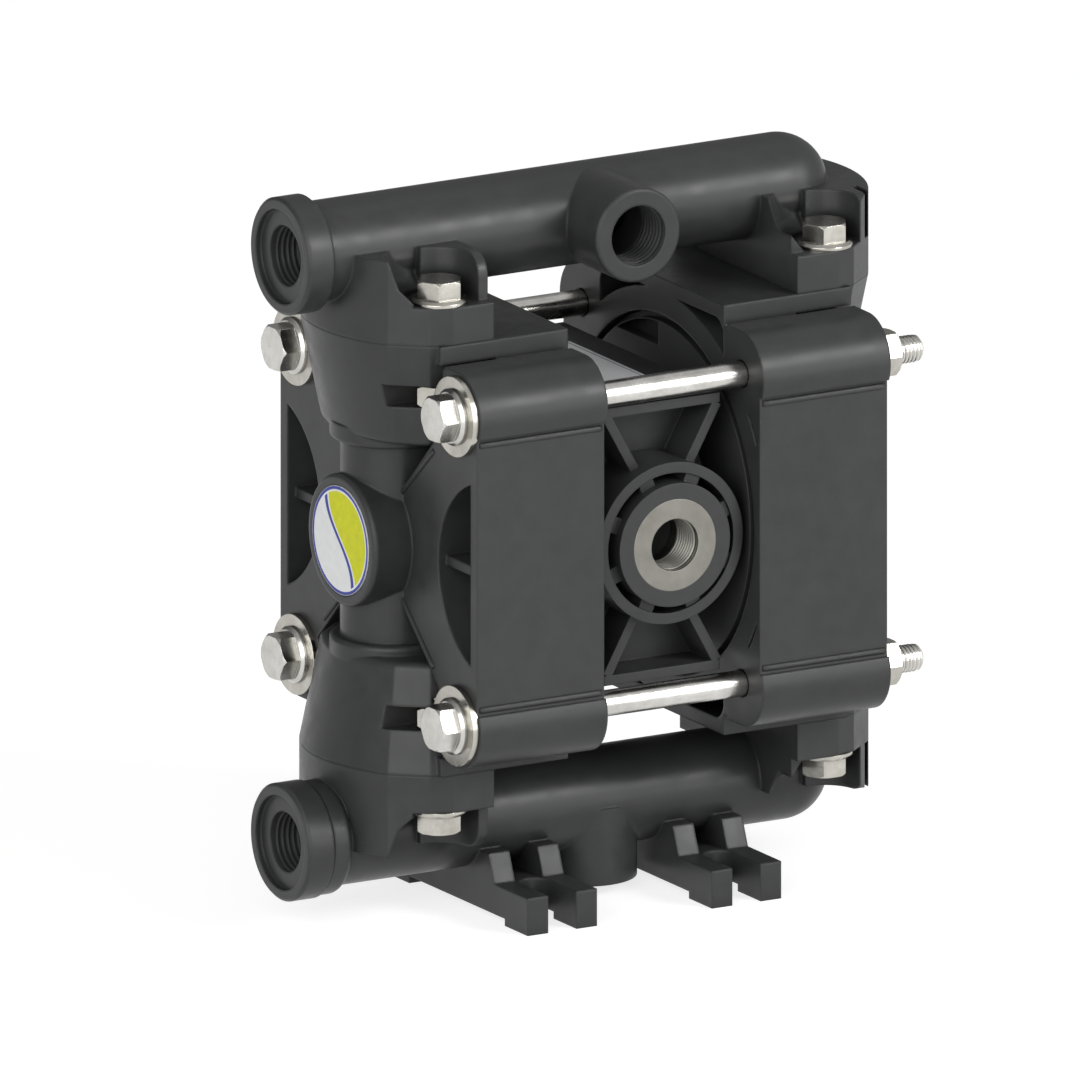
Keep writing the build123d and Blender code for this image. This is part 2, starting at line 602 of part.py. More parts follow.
def centre_body():
    """Moulded centre body with hubs at the front and the back."""
    core = block((-DOME_INNER, DOME_INNER), (-CORE_Y, 0), (-FRAME_Z, FRAME_Z))
    half = hub_ring() + centre_spokes() + centre_frame() + core
    half &= block((-CASING_FACE, CASING_FACE), (-HUB_Y, 0), (-FRAME_Z, FRAME_Z))
    envelope = plate_envelope()
    half -= envelope + mirrored_x(envelope)
    body = half + mirrored_y(half)
    body -= rod_y(INSERT_R, -HUB_Y, INSERT_L - HUB_Y)
    body -= rod_y(INSERT_BORE_R, HUB_Y - INSERT_L, HUB_Y)
    body -= rod_x(BUSH_R, -DOME_INNER, DOME_INNER)
    body -= rod_x(SLEEVE_R, -DOME_INNER, DOME_INNER, z=VALVE_Z)
    return body


def air_inlet_insert():
    return rod_y(INSERT_R, -HUB_Y, INSERT_L - HUB_Y) - rod_y(INSERT_BORE_R, -HUB_Y, INSERT_L - HUB_Y)


def exhaust_muffler():
    """Silencer screwed into the rear hub, with a hexagon and cooling grooves."""
    start = HUB_Y
    body = hexagon_along(Plane.XZ.offset(-start - MUFFLER_HEX_T), MUFFLER_HEX_T)
    body += rod_y(INSERT_BORE_R - NUT_GAP, start - INSERT_L / 2, start)
    barrel = rod_y(MUFFLER_R, start + MUFFLER_HEX_T, start + MUFFLER_L)
    barrel = fillet(barrel.edges().sort_by(Axis.Y)[-1], MUFFLER_ROUND)
    pitch = (MUFFLER_L - MUFFLER_HEX_T) / (MUFFLER_GROOVES + 1)
    for index in range(MUFFLER_GROOVES):
        low = start + MUFFLER_HEX_T + pitch * (index + 1) - MUFFLER_GROOVE_W / 2
        high = low + MUFFLER_GROOVE_W
        barrel -= rod_y(MUFFLER_R, low, high) - rod_y(MUFFLER_R - MUFFLER_GROOVE_T, low, high)
    return body + barrel


def nameplate():
    """Blank plate on the top of the centre body."""
    x, y, t = NAMEPLATE
    return Pos(0, 0, FRAME_Z) * Box(x, y, t, align=(Align.CENTER, Align.CENTER, Align.MIN))


def end_badge():
    """Blank round label on the left boss."""
    seat = -BOSS_X + BADGE_RECESS
    return rod_x(BADGE_R, seat - BADGE_T, seat)


def badge_recess():
    """Shallow recess in the left boss that holds the label."""
    return rod_x(BADGE_R + HOLE_GAP, -BOSS_X, -BOSS_X + BADGE_RECESS)


# ---- Moving parts ----
def shaft():
    return chamfer(rod_x(SHAFT_R, -SHAFT_END, SHAFT_END).edges().filter_by(GeomType.CIRCLE), SHAFT_CHAMFER)


def inner_plate():
    return rod_x(INNER_PLATE_R, INNER_PLATE_X, CENTRE_X) - rod_x(SHAFT_R, INNER_PLATE_X, CENTRE_X)


def outer_plate():
    end = OUTER_PLATE_X + OUTER_PLATE_T
    body = rod_x(OUTER_PLATE_R, OUTER_PLATE_X, end)
    body = fillet(body.edges().sort_by(Axis.X)[-1], OUTER_PLATE_T / 2)
    return body - rod_x(SHAFT_R, OUTER_PLATE_X, SHAFT_END)


def diaphragm():
    """Right hand diaphragm: clamped rim, rolled bellows and flat centre."""
    rolled = [(CENTRE_X, SHAFT_R + HOLE_GAP), (CENTRE_X, OUTER_PLATE_R), (PLATE_FACE, CHAMBER_R),
              (PLATE_FACE, PLATE_R), (CLAMP_FACE, PLATE_R), (CLAMP_FACE, CHAMBER_R - DIAPHRAGM_T),
              (OUTER_PLATE_X, OUTER_PLATE_R), (OUTER_PLATE_X, SHAFT_R + HOLE_GAP)]
    return turned_x(rolled)


def shaft_bushes():
    bushes = []
    for x in SIDES:
        ends = sorted((x * DOME_INNER, x * (DOME_INNER - BUSH_L)))
        bushes.append(rod_x(BUSH_R, *ends) - rod_x(SHAFT_R + RUNNING_GAP, *ends))
    return bushes


def valve_sleeve():
    return rod_x(SLEEVE_R, -DOME_INNER, DOME_INNER, z=VALVE_Z) - rod_x(
        SPOOL_R + RUNNING_GAP, -DOME_INNER, DOME_INNER, z=VALVE_Z)


def valve_spool():
    """Spool with two lands, in the middle of its travel."""
    half_waist = SPOOL_END / 2
    body = rod_x(SPOOL_R, -SPOOL_END, SPOOL_END, z=VALVE_Z)
    waist = rod_x(SPOOL_R, -half_waist, half_waist, z=VALVE_Z)
    return body - (waist - rod_x(SPOOL_WAIST_R, -half_waist, half_waist, z=VALVE_Z))


# ---- Check valves: one seat, ball and sealing ring per joint ----
def seat_base(level):
    """Lowest face of a valve seat; level is -1 for suction and 1 for discharge."""
    return -JOINT_Z if level < 0 else JOINT_Z - SEAT_T


def valve_seat(side, level):
    base = seat_base(level)
    body = rod_z(SEAT_R, base, base + SEAT_T, side * COLUMN_X)
    body -= rod_z(SEAT_BORE_R, base, base + SEAT_T, side * COLUMN_X)
    cone = Cone(SEAT_BORE_R, SEAT_BORE_R + SEAT_CONE, SEAT_CONE,
                align=(Align.CENTER, Align.CENTER, Align.MIN))
    body -= Pos(side * COLUMN_X, 0, base + SEAT_T - SEAT_CONE) * cone
    return body - ring_groove(side, level)


def ring_height(level):
    """Mid height of the sealing ring, in the seat face that meets the manifold."""
    return level * (JOINT_Z - RING_SECTION_R)


def ring_groove(side, level):
    low = ring_height(level) - RING_SECTION_R
    wide = rod_z(RING_PITCH_R + RING_SECTION_R, low, low + 2 * RING_SECTION_R, side * COLUMN_X)
    return wide - rod_z(RING_PITCH_R - RING_SECTION_R, low, low + 2 * RING_SECTION_R, side * COLUMN_X)


def ball_height(level):
    """Centre of a ball that rests on the lower edge of its seat's cone."""
    return seat_base(level) + SEAT_T - SEAT_CONE + sqrt(BALL_R ** 2 - SEAT_BORE_R ** 2) + BALL_GAP


def valve_ball(side, level):
    return Pos(side * COLUMN_X, 0, ball_height(level)) * Sphere(BALL_R)


def ball_stop(level):
    """Bar across the right hand column, just above the fully lifted ball."""
    low = ball_height(level) + BALL_R + BALL_LIFT + STOP_GAP
    reach = COLUMN_BORE_R + 1
    return block((COLUMN_X - STOP_W / 2, COLUMN_X + STOP_W / 2), (-reach, reach), (low, low + STOP_W))


# ---- Fasteners ----
def tie_bolts():
    bolts = []
    for y, z in rod_corners():
        head_base = -CASING_END - ROD_WASHER_T
        head = hexagon_along(Plane.YZ.offset(head_base - HEAD_T), HEAD_T)
        flange = rod_x(HEAD_FLANGE_R, head_base - HEAD_FLANGE_T, head_base)
        flange = chamfer(flange.edges().sort_by(Axis.X)[0], HEAD_FLANGE_T / 2)
        tail = CASING_END + END_WASHER_T + NUT_T + ROD_TAIL
        rod = rod_x(ROD_D / 2, head_base, tail)
        rod = chamfer(rod.edges().sort_by(Axis.X)[-1], HEX_CHAMFER)
        bolts.append(Pos(0, y, z) * (head + flange + rod))
    return bolts


def rod_rings(radius, start, thickness):
    """Four washers around the tie rods."""
    ring = rod_x(radius, start, start + thickness)
    ring -= rod_x(ROD_D / 2 + NUT_GAP, start, start + thickness)
    return [Pos(0, y, z) * ring for y, z in rod_corners()]


def tie_nuts():
    start = CASING_END + END_WASHER_T
    nut = hexagon_along(Plane.YZ.offset(start), NUT_T, ROD_D / 2 + NUT_GAP)
    return [Pos(0, y, z) * nut for y, z in rod_corners()]


def manifold_screw():
    """Flange head bolt of the top manifold, on the Z axis."""
    head = hexagon_along(Plane.XY.offset(FLANGE_Z), HEAD_T)
    flange = chamfer(rod_z(HEAD_FLANGE_R, FLANGE_Z, FLANGE_Z + HEAD_FLANGE_T).edges().sort_by(Axis.Z)[-1],
                     HEAD_FLANGE_T / 2)
    tip = CAPTIVE_Z - NUT_T / 2 - BOLT_TIP
    return head + flange + rod_z(ROD_D / 2, tip, FLANGE_Z)


def captive_nut():
    return hexagon_along(Plane.XY.offset(CAPTIVE_Z - NUT_T / 2), NUT_T, ROD_D / 2 + NUT_GAP)


def at_manifold_bolts(shape, level):
    placed = [Pos(x, y, 0) * shape for x, y in manifold_bolts()]
    return placed if level > 0 else [mirrored_z(s) for s in placed]


# ---- Writing the sub-parts ----
def write(name, shape):
    """Lift a sub-part on to the floor and write it; a list is a group of solids."""
    solids = []
    for item in shape if isinstance(shape, list) else [shape]:
        solids += item.solids()
    lifted = [Pos(0, 0, AXIS_HEIGHT) * solid for solid in solids]
    part = lifted[0] if len(lifted) == 1 else Compound(children=lifted)
    part.label = name
    export_step(part, f"parts/{name}.step")


def main():
    os.makedirs("parts", exist_ok=True)
    right_casing = casing()
    write("right_casing", right_casing)
    write("left_casing", mirrored_x(right_casing) - badge_recess())
    write("top_manifold", top_manifold())
    write("bottom_manifold", bottom_manifold())
    right_plate = air_plate()
    write("right_air_plate", right_plate)
    write("left_air_plate", mirrored_x(right_plate))
    write("centre_body", centre_body())
    write("air_inlet_insert", air_inlet_insert())
    write("exhaust_muffler", exhaust_muffler())
    write("nameplate", nameplate())
    write("end_badge", end_badge())
    for name, shape in (("diaphragm", diaphragm()), ("inner_plate", inner_plate()),
                        ("outer_plate", outer_plate())):
        write(f"right_{name}", shape)
        write(f"left_{name}", mirrored_x(shape))
    write("diaphragm_shaft", shaft())
    write("shaft_bushes", shaft_bushes())
    write("valve_sleeve", valve_sleeve())
    write("valve_spool", valve_spool())
    for side, hand in ((-1, "left"), (1, "right")):
        for level, place in ((-1, "suction"), (1, "discharge")):
            write(f"{hand}_{place}_seat", valve_seat(side, level))
            write(f"{hand}_{place}_ball", valve_ball(side, level))
            write(f"{hand}_{place}_ring", ring_groove(side, level))
    write("tie_bolts", tie_bolts())
    write("head_washers", rod_rings(ROD_WASHER_R, -CASING_END - ROD_WASHER_T, ROD_WASHER_T))
    write("end_washers", rod_rings(END_WASHER_R, CASING_END, END_WASHER_T))
    write("tie_nuts", tie_nuts())
    for level, place in ((1, "top"), (-1, "bottom")):
        write(f"{place}_manifold_bolts", at_manifold_bolts(manifold_screw(), level))
        write(f"{place}_captive_nuts", at_manifold_bolts(captive_nut(), level))


main()
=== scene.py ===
"""Dresses the air operated diaphragm pump: materials, threads and small trim, floor, light and camera.

The frame is that of the solids: X along the diaphragm shaft, -Y the air inlet side, +Z up, floor at Z 0.
Sizes of the pump are written in millimetres and become metres where a mesh is made. The studio is in metres.
"""
import bmesh
import bpy
import math
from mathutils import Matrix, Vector


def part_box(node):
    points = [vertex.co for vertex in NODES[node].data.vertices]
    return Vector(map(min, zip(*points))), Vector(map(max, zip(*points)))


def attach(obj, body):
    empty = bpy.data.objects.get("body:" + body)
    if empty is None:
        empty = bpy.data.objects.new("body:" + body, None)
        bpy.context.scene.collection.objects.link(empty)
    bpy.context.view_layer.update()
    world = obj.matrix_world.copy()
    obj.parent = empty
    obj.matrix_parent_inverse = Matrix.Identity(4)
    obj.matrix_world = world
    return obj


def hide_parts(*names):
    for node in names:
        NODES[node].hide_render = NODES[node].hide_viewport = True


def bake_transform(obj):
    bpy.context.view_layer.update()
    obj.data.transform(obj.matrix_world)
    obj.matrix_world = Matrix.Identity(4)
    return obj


MM = 0.001
AXIS_Z = 118.5                               # height of the pump axis, mm
PIPE_Z = 91.0                                # the manifold pipes above and below it, mm
WHITE = (1, 1, 1, 1)

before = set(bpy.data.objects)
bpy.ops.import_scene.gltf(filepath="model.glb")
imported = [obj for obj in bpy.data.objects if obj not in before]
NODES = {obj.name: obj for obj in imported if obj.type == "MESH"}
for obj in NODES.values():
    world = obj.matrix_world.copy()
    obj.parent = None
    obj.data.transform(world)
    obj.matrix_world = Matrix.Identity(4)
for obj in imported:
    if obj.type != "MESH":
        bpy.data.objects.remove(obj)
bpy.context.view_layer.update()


# ---------------------------------------------------------------- node trees
MIX_INPUTS, MIX_OUTPUT = (0, 6, 7), 2        # a Mix node's factor and its two colours, and the mixed colour
FLAT, SHARP = 0.995, 0.80                    # cosine between the rounded and the true normal
SHUT, OPEN = 0.25, 0.85                      # how much of its surroundings a point sees


class Nodes:
    """Small builder for a node tree."""

    def __init__(self, tree):
        self.tree = tree

    def node(self, kind, **settings):
        made = self.tree.nodes.new(kind)
        for key, value in settings.items():
            setattr(made, key, value)
        return made

    def link(self, source, target):
        self.tree.links.new(source, target)

    def feed(self, sockets, values):
        """Gives each socket its number or its colour, or links it to its source."""
        for socket, value in zip(sockets, values):
            if isinstance(value, (int, float)):
                socket.default_value = value
            elif isinstance(value, tuple):
                socket.default_value = value + (1.0,)
            elif value is not None:
                self.link(value, socket)

    def math(self, how, a, b=None):
        made = self.node("ShaderNodeMath", operation=how)
        self.feed(made.inputs, (a, b))
        return made.outputs["Value"]

    def axes(self, place):
        made = self.node("ShaderNodeSeparateXYZ")
        self.link(place, made.inputs[0])
        return made.outputs


class Paint(Nodes):
    """Builder for one procedural material, laid out in the frame's own coordinates."""

    def __init__(self, name):
        self.material = bpy.data.materials.new(name)
        self.material.use_nodes = True
        super().__init__(self.material.node_tree)
        self.shader = self.tree.nodes["Principled BSDF"]
        self.place = self.node("ShaderNodeTexCoord").outputs["Object"]

    def noise(self, size_mm, detail=3.0, rough=0.55, scale=None):
        """Noise with features of this size. A scale below 1 draws them out along that axis."""
        place = self.place
        if scale is not None:
            mapping = self.node("ShaderNodeMapping")
            mapping.inputs["Scale"].default_value = scale
            self.link(place, mapping.inputs["Vector"])
            place = mapping.outputs["Vector"]
        made = self.node("ShaderNodeTexNoise")
        made.inputs["Scale"].default_value = 1 / MM / size_mm
        made.inputs["Detail"].default_value = detail
        made.inputs["Roughness"].default_value = rough
        self.link(place, made.inputs["Vector"])
        return made.outputs["Fac"]

    def span(self, value, low, high, to_low=0.0, to_high=1.0):
        """Maps low..high to to_low..to_high and stays within it. Low may be the larger one."""
        made = self.node("ShaderNodeMapRange")
        made.inputs["From Min"].default_value = low
        made.inputs["From Max"].default_value = high
        made.inputs["To Min"].default_value = to_low
        made.inputs["To Max"].default_value = to_high
        self.link(value, made.inputs["Value"])
        return made.outputs["Result"]

    def mix(self, factor, first, second):
        made = self.node("ShaderNodeMix", data_type="RGBA")
        self.feed([made.inputs[at] for at in MIX_INPUTS], (factor, first, second))
        return made.outputs[MIX_OUTPUT]

    def edge(self, radius_mm):
        """0 on flat skin and towards 1 on an edge, and the rounded normal itself."""
        bevel = self.node("ShaderNodeBevel", samples=4)
        bevel.inputs["Radius"].default_value = radius_mm * MM
        dot = self.node("ShaderNodeVectorMath", operation="DOT_PRODUCT")
        self.link(bevel.outputs["Normal"], dot.inputs[0])
        self.link(self.node("ShaderNodeNewGeometry").outputs["Normal"], dot.inputs[1])
        return self.span(dot.outputs["Value"], FLAT, SHARP), bevel.outputs["Normal"]

    def painted_crevice_shade(self, reach_mm):
        """Towards 1 in the open and towards 0 in narrow corners, for the painted shade that darkens corners and
        creases.
        """
        made = self.node("ShaderNodeAmbientOcclusion", samples=6, only_local=False)
        made.inputs["Distance"].default_value = reach_mm * MM
        return self.span(made.outputs["AO"], SHUT, OPEN)

    def bump(self, height, distance_mm, strength, normal=None):
        made = self.node("ShaderNodeBump")
        made.inputs["Strength"].default_value = strength
        made.inputs["Distance"].default_value = distance_mm * MM
        self.link(height, made.inputs["Height"])
        if normal is not None:
            self.link(normal, made.inputs["Normal"])
        return made.outputs["Normal"]

    def finish(self, colour=None, roughness=None, normal=None, **fixed):
        """Links what varies over the surface and sets what is the same all over it."""
        for name, value in fixed.items():
            self.shader.inputs[name.replace("_", " ")].default_value = value
        for name, source in (("Base Color", colour), ("Roughness", roughness), ("Normal", normal)):
            if source is not None:
                self.link(source, self.shader.inputs[name])
        return self.material


# ---------------------------------------------------------------- materials
def shade(colour, times):
    return tuple(min(1.0, times * part) for part in colour)


def moulded_plastic(name, dark, light, rough, edge_mm=1.1, grain_mm=0.02):
    """Satin injection moulded plastic: faint flow marks, a fine eroded skin, rounded edges with a painted
    highlight and painted shade in its corners.
    """
    paint = Paint(name)
    flow = paint.noise(38.0, detail=4.0, rough=0.6, scale=(1.0, 1.0, 0.45))
    cloud = paint.noise(6.0)
    skin = paint.noise(0.55, detail=2.0, rough=0.6)
    marks = paint.noise(2.2, detail=5.0, rough=0.7, scale=(1.0, 1.0, 4.0))
    edge, normal = paint.edge(edge_mm)
    tone = paint.mix(paint.span(paint.math("ADD", flow, cloud), 0.7, 1.3), dark, light)
    # painted shade: the tone darkens in corners and creases
    tone = paint.mix(paint.painted_crevice_shade(7.0), shade(dark, 0.55), tone)
    # painted highlight: the tone lightens along edges
    tone = paint.mix(paint.math("MULTIPLY", edge, 0.30), tone, shade(light, 1.7))
    scuff = paint.span(marks, 0.62, 0.8, to_high=0.05)
    glossy = paint.math("ADD", paint.span(cloud, 0.35, 0.65, rough - 0.04, rough + 0.05), scuff)
    height = paint.math("ADD", skin, paint.math("MULTIPLY", flow, 0.6))
    return paint.finish(tone, glossy, paint.bump(height, grain_mm, 0.5, normal), Specular_IOR_Level=0.30)


def steel(name, low, high, rough, lines=(1.0, 1.0, 1.0), edge_mm=0.35, stain_tone=(0.30, 0.265, 0.215)):
    """Stainless steel with fine drawing or turning lines, faint stains, softened edges with a painted highlight
    and painted shade in its corners.
    """
    paint = Paint(name)
    grain = paint.noise(0.5, rough=0.6, scale=lines)
    cloud = paint.noise(7.0, detail=4.0, rough=0.6)
    stain = paint.span(paint.noise(3.0, detail=5.0, rough=0.7), 0.56, 0.78)
    edge, normal = paint.edge(edge_mm)
    tone = paint.mix(paint.span(cloud, 0.32, 0.68), low, high)
    tone = paint.mix(paint.span(grain, 0.3, 0.7, to_high=0.14), tone, shade(low, 0.7))
    tone = paint.mix(paint.math("MULTIPLY", stain, 0.22), tone, stain_tone)
    # painted shade: darker in corners and creases
    tone = paint.mix(paint.painted_crevice_shade(3.0), shade(low, 0.45), tone)
    # painted highlight: lighter along edges
    tone = paint.mix(paint.math("MULTIPLY", edge, 0.45), tone, shade(high, 1.2))
    glossy = paint.math("ADD", paint.span(cloud, 0.3, 0.7, rough - 0.05, rough + 0.05),
                        paint.math("MULTIPLY", stain, 0.08))
    return paint.finish(tone, glossy, paint.bump(grain, 0.006, 0.6, normal), Metallic=1.0)


def rubber(name, tone, rough):
    """Matt rubber with a cloudy tone and a faint pale bloom."""
    paint = Paint(name)
    cloud = paint.noise(7.0, detail=4.0)
    bloom = paint.span(paint.noise(1.6), 0.5, 0.8)
    colour = paint.mix(paint.span(cloud, 0.3, 0.7), tone, shade(tone, 1.5))
    colour = paint.mix(paint.math("MULTIPLY", bloom, 0.25), colour, shade(tone, 2.4))
    return paint.finish(colour, paint.span(cloud, 0.3, 0.7, rough - 0.08, rough + 0.08),
                        paint.bump(paint.noise(0.5, detail=2.0), 0.02, 0.4))


def machined_plastic(name, tone, rough):
    """Pale turned plastic with fine tool lines across its height."""
    paint = Paint(name)
    lines = paint.noise(0.6, detail=2.0, rough=0.5, scale=(0.2, 0.2, 2.5))
    cloud = paint.noise(5.0)
    edge, normal = paint.edge(0.3)
    colour = paint.mix(paint.span(cloud, 0.3, 0.7), shade(tone, 0.86), tone)
    # painted highlight: lighter along edges
    colour = paint.mix(paint.math("MULTIPLY", edge, 0.4), colour, shade(tone, 1.1))
    return paint.finish(colour, paint.span(lines, 0.3, 0.7, rough - 0.05, rough + 0.07),
                        paint.bump(lines, 0.015, 0.5, normal), Subsurface_Weight=0.05)


def foil(paint, colour):
    """Finish shared by the two printed foils: faint orange peel under a thin clear coat."""
    peel = paint.noise(0.7, detail=2.0)
    return paint.finish(colour, paint.span(paint.noise(5.0), 0.3, 0.7, 0.30, 0.42),
                        paint.bump(peel, 0.01, 0.4), Specular_IOR_Level=0.2, Coat_Weight=0.04,
                        Coat_Roughness=0.18)


# The line between the badge's white and lime: its swing in mm, its turn in radians per mm, and its slope.
WAVE_SWING, WAVE_TURN, WAVE_SLOPE = 3.4, 0.17, 0.40
# Where a fade of the prints starts and where it is full, in mm: across that line, out from the badge's
# centre, and in from the plate's rim.
LIME_EDGE = (0.9, 1.1)
BAND_NEAR, BAND_FAR = (-1.6, -1.4), (0.3, 0.1)
MOTIF_EDGE = (15.1, 14.9)
RING_INSIDE, RING_OUTSIDE = (15.5, 15.7), (16.6, 16.5)
BORDER_OUTSIDE, BORDER_INSIDE = (1.0, 1.1), (1.5, 1.4)
DUST_EDGE = (0.9, 0.0)


def badge_print():
    """Round foil: white ground, blue ring, a lime field with a wavy edge and a blue band along it."""
    paint = Paint("badge_print")
    _, y, z = paint.axes(paint.place)
    up = paint.math("MULTIPLY", paint.math("SUBTRACT", z, AXIS_Z * MM), 1 / MM)
    across = paint.math("MULTIPLY", y, -1 / MM)
    radius = paint.math("SQRT", paint.math("ADD", paint.math("MULTIPLY", up, up),
                                           paint.math("MULTIPLY", across, across)))
    wave = paint.math("MULTIPLY", paint.math("SINE", paint.math("MULTIPLY", up, WAVE_TURN)), WAVE_SWING)
    side = paint.math("ADD", paint.math("ADD", across, wave), paint.math("MULTIPLY", up, WAVE_SLOPE))
    band = paint.math("MULTIPLY", paint.span(side, *BAND_NEAR), paint.span(side, *BAND_FAR))
    ring = paint.math("MULTIPLY", paint.span(radius, *RING_INSIDE), paint.span(radius, *RING_OUTSIDE))
    grain = paint.span(paint.noise(3.0), 0.3, 0.7)
    lime = paint.mix(grain, (0.66, 0.69, 0.003), (0.76, 0.78, 0.004))
    white = paint.mix(grain, (0.86, 0.87, 0.87), (0.92, 0.93, 0.93))
    blue = paint.mix(grain, (0.030, 0.045, 0.30), (0.045, 0.065, 0.38))
    colour = paint.mix(paint.span(side, *LIME_EDGE), white, lime)
    colour = paint.mix(band, colour, blue)
    colour = paint.mix(paint.span(radius, *MOTIF_EDGE), white, colour)
    return foil(paint, paint.mix(ring, colour, blue))


def plate_print():
    """Bare white foil plate with a thin grey border line and a little dust along its rim."""
    paint = Paint("plate_print")
    low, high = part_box("nameplate")
    insets = []
    for place, near, far in zip(paint.axes(paint.place), low[:2], high[:2]):
        off = paint.math("ABSOLUTE", paint.math("SUBTRACT", place, (near + far) / 2))
        insets.append(paint.math("SUBTRACT", (far - near) / 2, off))
    inset = paint.math("MULTIPLY", paint.math("MINIMUM", *insets), 1 / MM)
    border = paint.math("MULTIPLY", paint.span(inset, *BORDER_OUTSIDE), paint.span(inset, *BORDER_INSIDE))
    specks = paint.span(paint.noise(2.0, detail=4.0), 0.4, 0.7)
    dust = paint.math("MULTIPLY", paint.span(inset, *DUST_EDGE), specks)
    colour = paint.mix(paint.noise(4.0), (0.76, 0.77, 0.78), (0.86, 0.87, 0.88))
    colour = paint.mix(border, colour, (0.16, 0.17, 0.18))
    return foil(paint, paint.mix(paint.math("MULTIPLY", dust, 0.5), colour, (0.35, 0.33, 0.30)))


WETTED = moulded_plastic("wetted_plastic", (0.0325, 0.0332, 0.0336), (0.041, 0.0419, 0.0423), rough=0.37)
CENTRE = moulded_plastic("centre_plastic", (0.033, 0.0337, 0.034), (0.042, 0.0428, 0.043), rough=0.42,
                         edge_mm=0.5)
SILENCER = moulded_plastic("muffler_plastic", (0.028, 0.028, 0.029), (0.040, 0.040, 0.041), rough=0.58,
                           edge_mm=0.3, grain_mm=0.05)
BRIGHT = steel("fastener_steel", (0.40, 0.385, 0.345), (0.56, 0.545, 0.50), rough=0.24)
DRAWN = steel("drawn_steel", (0.50, 0.49, 0.46), (0.66, 0.65, 0.62), rough=0.24, lines=(0.06, 1.0, 1.0))
TURNED = steel("insert_steel", (0.185, 0.18, 0.16), (0.236, 0.23, 0.207), rough=0.42, lines=(1.0, 0.3, 1.0))
DIAPHRAGM = rubber("diaphragm_rubber", (0.012, 0.012, 0.012), rough=0.62)
SEAL = rubber("seal_rubber", (0.010, 0.010, 0.010), rough=0.5)
BALL = rubber("ball_rubber", (0.030, 0.030, 0.031), rough=0.45)
SEAT = machined_plastic("seat_plastic", (0.62, 0.61, 0.57), rough=0.42)
BEARING = machined_plastic("bearing_plastic", (0.70, 0.69, 0.64), rough=0.38)
PLATE = plate_print()
BADGE = badge_print()

VALVES = [f"{side}_{stage}" for side in ("left", "right") for stage in ("suction", "discharge")]
FINISH = {
    WETTED: ("left_casing", "right_casing", "top_manifold", "bottom_manifold",
             "left_outer_plate", "right_outer_plate"),
    CENTRE: ("centre_body", "left_air_plate", "right_air_plate"),
    SILENCER: ("exhaust_muffler",),
    BRIGHT: ("head_washers", "end_washers", "tie_nuts", "top_manifold_bolts", "bottom_manifold_bolts",
             "top_captive_nuts", "bottom_captive_nuts", "left_inner_plate", "right_inner_plate"),
    DRAWN: ("tie_bolts", "diaphragm_shaft"),
    TURNED: ("air_inlet_insert",),
    DIAPHRAGM: ("left_diaphragm", "right_diaphragm"),
    SEAL: [f"{valve}_ring" for valve in VALVES],
    BALL: [f"{valve}_ball" for valve in VALVES],
    SEAT: [f"{valve}_seat" for valve in VALVES],
    BEARING: ("shaft_bushes", "valve_sleeve", "valve_spool"),
    PLATE: ("nameplate",),
    BADGE: ("end_badge",),
}
for material, names in FINISH.items():
    for name in names:
        NODES[name].data.materials.clear()
        NODES[name].data.materials.append(material)


# ---------------------------------------------------------------- added pieces
def add_object(name, data):
    thing = bpy.data.objects.new(name, data)
    bpy.context.scene.collection.objects.link(thing)
    return thing


def add_piece(name, vertices, faces, material):
    """Closed mesh with its faces turned outwards; its vertices are in metres."""
    mesh = bpy.data.meshes.new(name)
    mesh.from_pydata(vertices, [], faces)
    mesh.materials.append(material)
    shape = bmesh.new()
    shape.from_mesh(mesh)
    bmesh.ops.recalc_face_normals(shape, faces=shape.faces)
    shape.to_mesh(mesh)
    shape.free()
    mesh.validate()
    mesh.update()
    piece = add_object(name, mesh)
    return piece


def tube_faces(rows, row, closed=False):
    """Quads that join rows of points into a tube, which is closed on itself or has a cap at either end."""
    faces = []
    for k in range(rows if closed else rows - 1):
        after = (k + 1) % rows
        faces += [(k * row + j, k * row + (j + 1) % row, after * row + (j + 1) % row, after * row + j)
                  for j in range(row)]
    if not closed:
        faces += [tuple(range(row))[::-1], tuple(range((rows - 1) * row, rows * row))]
    return faces


# ---------------------------------------------------------------- threads
# Wall or rod radius, pitch and height of the ridge in mm. A negative height runs inwards from a bore's wall.
G_HALF = {"radius": 9.3, "pitch": 1.814, "height": -0.45}
G_THREE_EIGHTHS = {"radius": 8.1, "pitch": 1.337, "height": -0.5}
M8 = {"radius": 4.0, "pitch": 1.25, "height": 0.22}
FOOT_HALF, CREST_HALF = 0.42, 0.08           # half widths of the ridge, in pitches
THREAD_SINK = 0.12                           # how far the ridge's foot lies inside the solid, mm
PORT_STEPS, ROD_STEPS = 60, 36               # rows of points in one turn

END_PORT_X, FRONT_PORT_Y, BASE_PORT_Z, INLET_Y = -102.4, -32.0, 4.8, -53.8      # where the threads start, mm
PORT_LENGTH, BASE_PORT_LENGTH, INLET_LENGTH = 13.5, 11.0, 12.5
ROD_SPREAD = 48.0                            # the tie rods beside, above and below the axis, mm
ROD_THREAD_BACK, ROD_THREAD_LENGTH = 10.6, 9.6
ROD_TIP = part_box("tie_bolts")[1][0] / MM
ALONG_X, ALONG_Y, ALONG_Z = (1, 0, 0), (0, 1, 0), (0, 0, 1)


